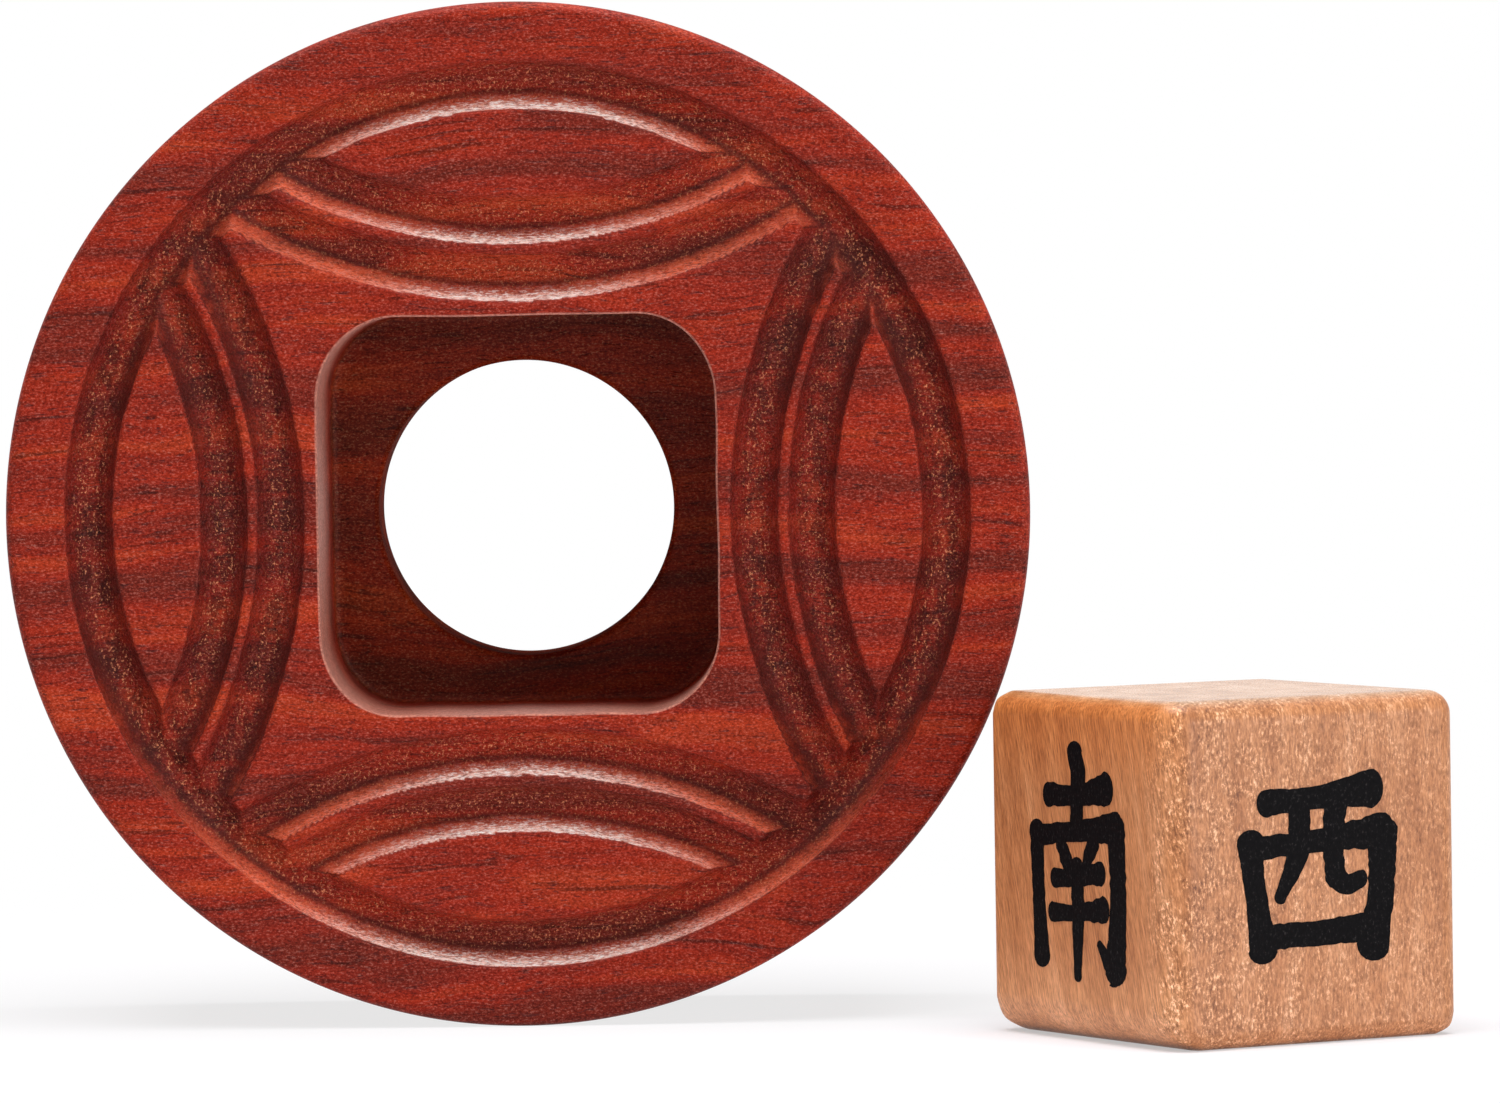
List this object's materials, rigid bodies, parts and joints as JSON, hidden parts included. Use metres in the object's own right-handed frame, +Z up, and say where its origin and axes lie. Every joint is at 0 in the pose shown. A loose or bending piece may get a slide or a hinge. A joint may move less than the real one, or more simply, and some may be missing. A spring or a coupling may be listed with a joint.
{
  "type": "mahjong wind indicator",
  "caption": "Round carved wooden holder standing on its rim, with a square pocket and a push-out hole, and a loose wooden wind cube that stands beside it and seats in the pocket.",
  "frame": {"origin": "middle of the set's footprint on the table", "axes": "+Z up; +Y from the holder's carved front face to its back; +X from the holder towards the cube"},
  "size_m": [0.0849, 0.0432, 0.061],
  "materials": {
    "rosewood": "satin",
    "maple": "satin"
  },
  "bodies": {
    "holder": {"holder": "rosewood"},
    "cube": {"wind_cube": "maple"}
  },
  "joints": [
    {"name": "cube_lift", "type": "slide", "parent": "holder", "child": "cube", "axis": [0, 0, 1], "range_m": [0, 0.065]}
  ]
}
